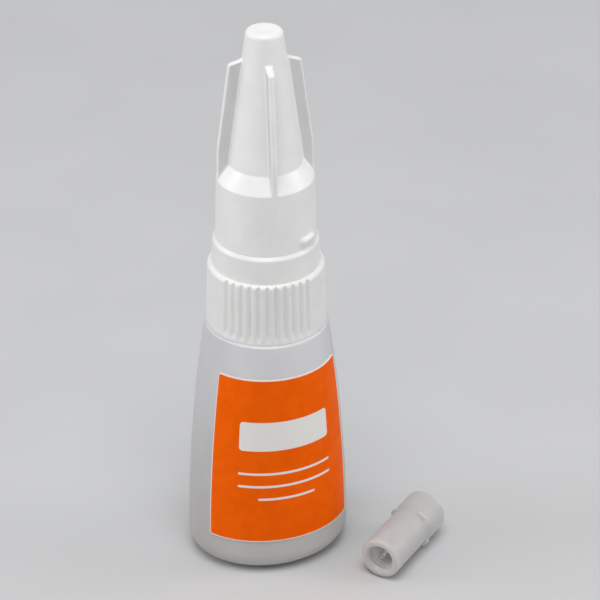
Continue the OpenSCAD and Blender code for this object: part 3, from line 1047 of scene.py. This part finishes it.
def make_pin_cap():
    """Translucent tube with a wider closed head, nubs round its edge, and moulding rings in its bore."""
    head_z = PIN_CAP_LEN - HEAD_LEN
    nub_z = PIN_CAP_LEN - NUB_BACK
    bore_end = PIN_CAP_LEN - END_T
    dimple_z = PIN_CAP_LEN - END_DIMPLE_DEPTH
    profile = rounded([
        (BORE_END_R, bore_end, 0),
        (PIN_CAP_BORE_R - BORE_TAPER, bore_end, BORE_END_ROUND),
        (PIN_CAP_BORE_R, MOUTH_H, MOUTH_IN_ROUND),
        (PIN_CAP_BORE_R + MOUTH_FLARE, 0, MOUTH_EDGE_ROUND),
        (PIN_CAP_R, 0, MOUTH_ROUND),
        (PIN_CAP_R, head_z - HEAD_SLOPE_H, HEAD_ROUND),
        (HEAD_R, head_z, HEAD_ROUND),
        (HEAD_R, PIN_CAP_LEN, END_ROUND),
        (END_DIMPLE_R, PIN_CAP_LEN, END_DIMPLE_ROUND),
        (END_DIMPLE_FLOOR_R, dimple_z, END_DIMPLE_FLOOR_ROUND),
        (END_DIMPLE_MIDDLE_R, dimple_z, 0)], steps=6)
    profile = refined(profile, BORE_STEP, MOUTH_H, bore_end)

    def radius(r, z):
        if r > PIN_CAP_R - SLACK:
            reach = max(0, HEAD_R + NUB_REACH - r)
            return lambda angle: r + reach * nub(angle, z - nub_z)
        if r > PIN_CAP_BORE_R + SLACK or z > bore_end - BORE_RING_END:
            return r
        return r + BORE_RING_H * math.sin(TURN * z / BORE_RING_STEP)

    angles = even_angles(PIN_CAP_SIDES)
    rings = [ring(angles, z, radius(r, z)) for r, z in profile]
    piece = skin("pin_cap_shell", rings, ((0, 0, bore_end), (0, 0, dimple_z)))
    mark_bore_depth(piece, bore_end)
    mouth = Vector((BASE_A + PIN_CAP_SIDE, -BASE_B - PIN_CAP_FRONT, HEAD_R))
    lay = Matrix.Rotation(PIN_CAP_TURN, 4, "Z") @ Matrix.Rotation(math.pi / 2, 4, "Y")
    piece.data.transform(Matrix.Translation(mouth) @ lay)
    dress(piece, "pin_cap", "pin_cap", "pin_cap_plastic", frosted_plastic())


def finish_cad_nodes():
    """Materials for the pieces that keep their CAD solids: the two pins and the seal plug."""
    seal = moulded("seal_soft", rgb(0.82, 0.82, 0.80), rgb(0.78, 0.78, 0.75), 0.45,
                   Subsurface_Weight=0.3, Subsurface_Scale=0.5 * MM).material
    wire = steel("pin_wire")
    for node, material in (("tip_seal", seal), ("orifice_pin", wire), ("clearing_pin", wire)):
        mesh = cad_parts[node].data
        mesh.materials.clear()
        mesh.materials.append(material)


def backdrop_rays(tree):
    """1 for the rays that show the backdrop: straight, mirrored or through clear plastic."""
    path = tree.nodes.new("ShaderNodeLightPath")
    rays = path.outputs["Is Camera Ray"]
    for kind in ("Is Glossy Ray", "Is Transmission Ray"):
        either = tree.nodes.new("ShaderNodeMath")
        either.operation = "MAXIMUM"
        tree.links.new(rays, either.inputs[0])
        tree.links.new(path.outputs[kind], either.inputs[1])
        rays = either.outputs[0]
    return rays


def blend_shaders(tree, factor, first, second, output):
    """Shows the second shader where the factor is 1."""
    blend = tree.nodes.new("ShaderNodeMixShader")
    tree.links.new(factor, blend.inputs[0])
    tree.links.new(first.outputs[0], blend.inputs[1])
    tree.links.new(second.outputs[0], blend.inputs[2])
    tree.links.new(blend.outputs[0], tree.nodes[output].inputs["Surface"])


def make_floor():
    """Plain pale floor, lit like the object, which runs out into the backdrop."""
    half = FLOOR_SIZE / 2
    corners = [(-half, -half), (half, -half), (half, half), (-half, half)]
    floor = mesh_object("floor", [Vector((x, y, -FLOOR_DROP)) for x, y in corners], [(0, 1, 2, 3)])
    pale = Surface("pale_floor", Roughness=0.7)
    tone = pale.ramp(pale.noise(size=30 * MM), low=0.3, high=0.7)
    pale.paint(pale.mix(tone, rgb(0.55, 0.555, 0.565), rgb(0.57, 0.575, 0.585)))
    away = pale.node("ShaderNodeVectorMath", operation="LENGTH")
    pale.wire(pale.place, away.inputs[0])
    far = pale.ramp(away.outputs["Value"], FLOOR_NEAR, FLOOR_FAR)
    plain = pale.node("ShaderNodeEmission")
    plain.inputs["Color"].default_value = BACKDROP
    shown = pale.math("MULTIPLY", far, backdrop_rays(pale.tree))
    blend_shaders(pale.tree, shown, pale.shader, plain, "Material Output")
    floor.data.materials.append(pale.material)


def area_light(name, place, target, size, power):
    """Round lamp that faces a target."""
    lamp = bpy.data.lights.new(name, "AREA")
    lamp.shape = "DISK"
    lamp.size = size
    lamp.energy = power
    thing = bpy.data.objects.new(name, lamp)
    thing.location = place
    thing.rotation_euler = (Vector(target) - Vector(place)).to_track_quat("-Z", "Y").to_euler()
    bpy.context.scene.collection.objects.link(thing)


def make_lights():
    """Soft overhead light, a weak lamp at each side, and an even world."""
    middle = (0, 0, TIP_Z / 2)
    for name, place, size, power in LAMPS:
        area_light(name, place, middle, size, power)
    world = bpy.data.worlds.new("studio")
    world.use_nodes = True
    tree = world.node_tree
    light = tree.nodes["Background"]
    light.inputs["Color"].default_value = WORLD_COLOUR
    light.inputs["Strength"].default_value = WORLD_STRENGTH
    plain = tree.nodes.new("ShaderNodeBackground")
    plain.inputs["Color"].default_value = BACKDROP
    blend_shaders(tree, backdrop_rays(tree), light, plain, "World Output")
    bpy.context.scene.world = world


def make_camera():
    """The photograph's viewpoint."""
    lens = bpy.data.cameras.new("camera")
    lens.sensor_width = CAMERA_SENSOR
    lens.lens = CAMERA_LENS
    lens.clip_start = CAMERA_NEAR
    camera = bpy.data.objects.new("camera", lens)
    camera.location = polar(FRONT - CAMERA_TURN, CAMERA_DISTANCE, CAMERA_HEIGHT)
    camera.rotation_euler = (math.pi / 2 - CAMERA_PITCH, 0, -CAMERA_TURN - CAMERA_YAW)
    bpy.context.scene.collection.objects.link(camera)
    bpy.context.scene.camera = camera


make_camera()
make_lights()
make_floor()
make_bottle()
make_glue()
make_label()
make_nozzle()
make_collar()
make_overcap()
make_pin_cap()
finish_cad_nodes()
bpy.context.scene.view_settings.view_transform = "Standard"
